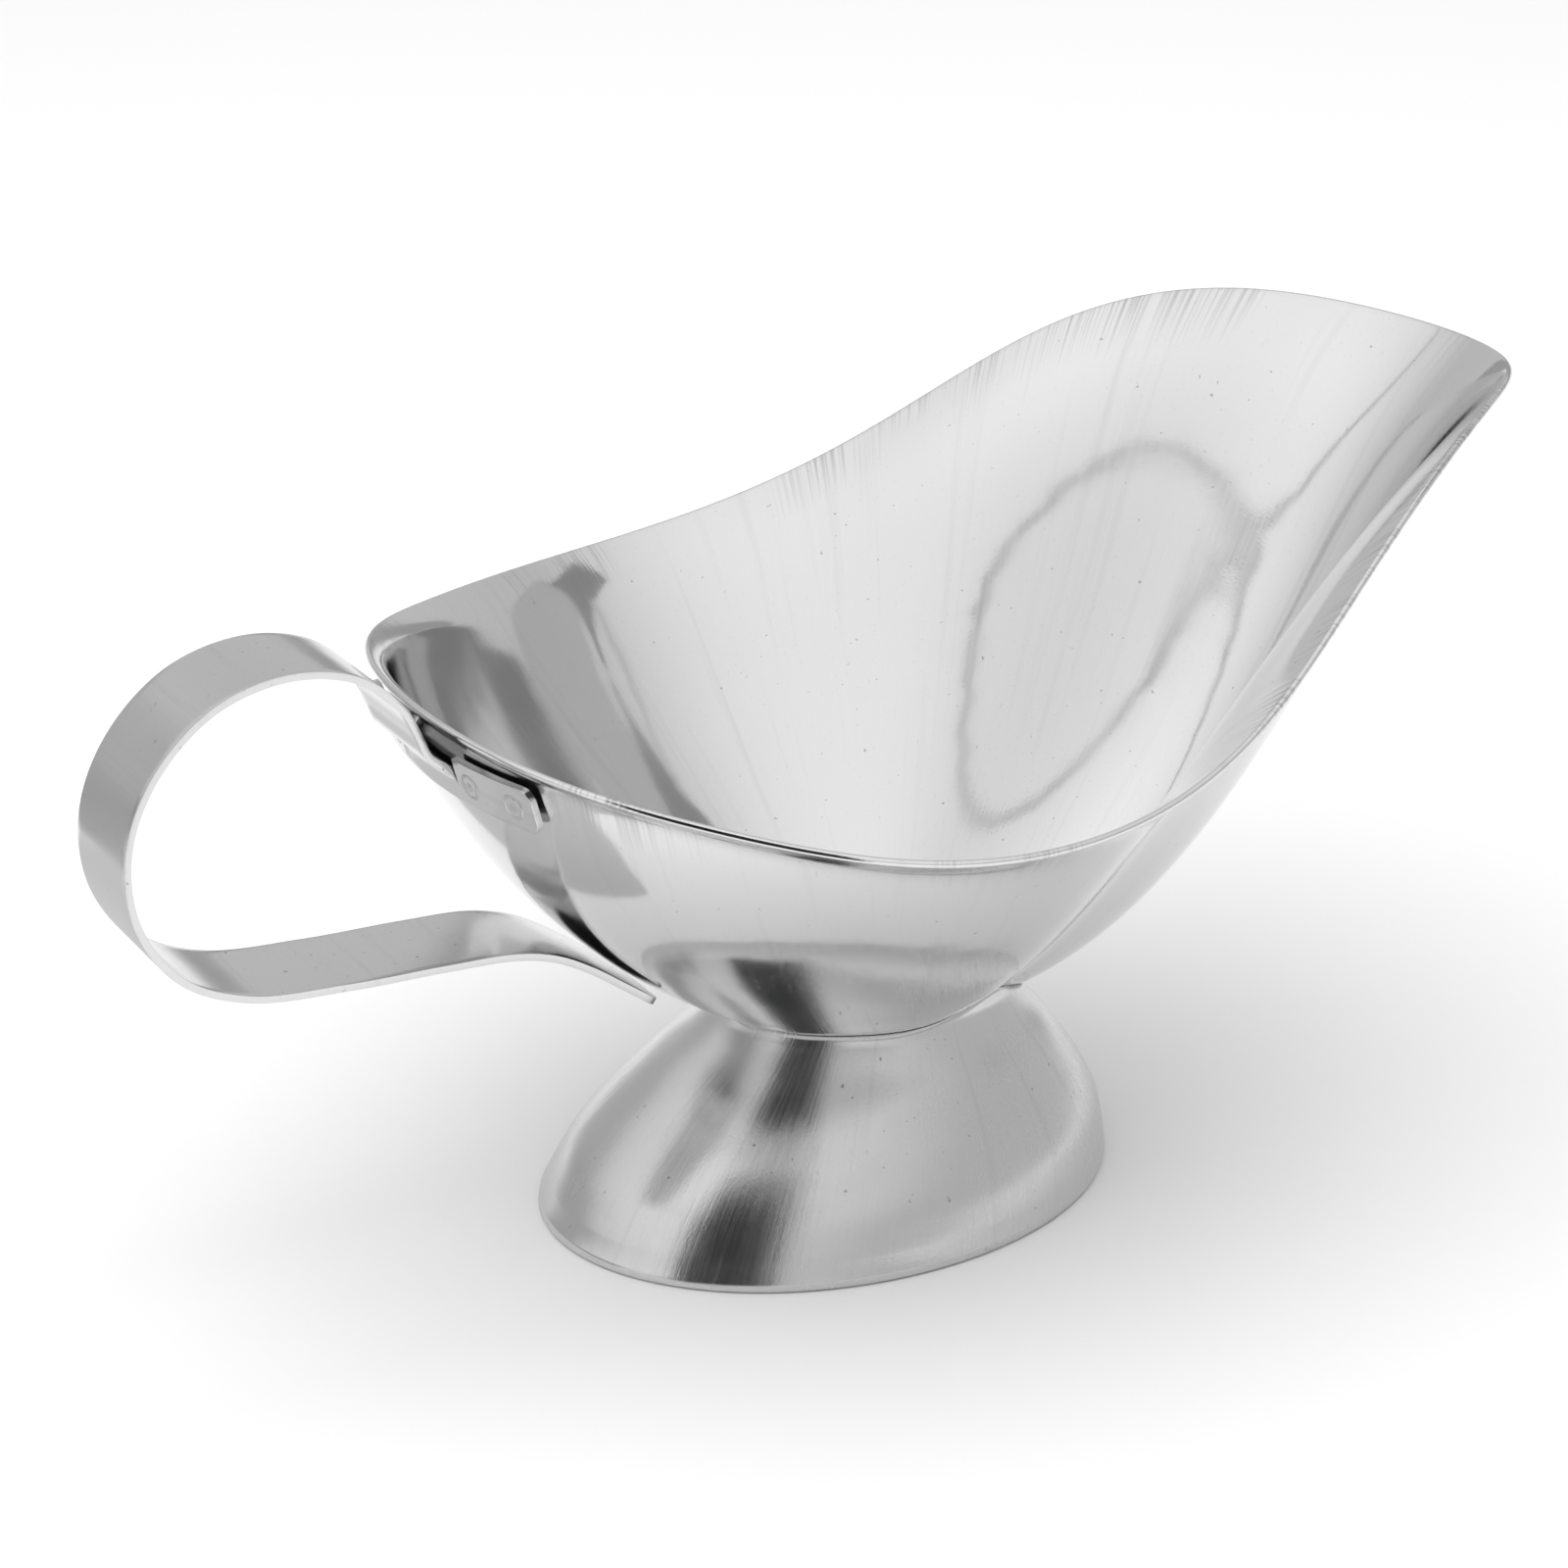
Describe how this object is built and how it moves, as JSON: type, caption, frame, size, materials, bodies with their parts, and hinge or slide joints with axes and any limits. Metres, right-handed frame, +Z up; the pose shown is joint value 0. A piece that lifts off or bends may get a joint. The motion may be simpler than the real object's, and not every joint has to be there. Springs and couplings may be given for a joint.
{
  "type": "sauce boat",
  "caption": "Stainless steel sauce boat: oval bowl with a raised pouring spout and flared rim, pedestal foot and bent strip handle.",
  "frame": {"origin": "on the surface that the foot stands on, below the middle of the bounding box", "axes": "+X from the handle towards the pouring spout, +Y across the bowl, +Z up"},
  "size_m": [0.1686, 0.103, 0.0878],
  "materials": {
    "polished_steel": "polished stainless sheet with fine scratches",
    "satin_steel": "satin stainless sheet with small pits",
    "strip_steel": "satin stainless strip with cut edges",
    "weld_steel": "dull spot weld mark"
  },
  "bodies": {
    "root": {"bowl": "polished_steel", "foot": "satin_steel", "handle": "strip_steel", "tab_weld_left_inner": "weld_steel", "tab_weld_left_outer": "weld_steel", "tab_weld_right_inner": "weld_steel", "tab_weld_right_outer": "weld_steel", "tail_weld_upper": "weld_steel", "tail_weld_lower": "weld_steel", "foot_weld_left_stern": "weld_steel", "foot_weld_left_spout": "weld_steel", "foot_weld_right_stern": "weld_steel", "foot_weld_right_spout": "weld_steel"}
  },
  "joints": []
}
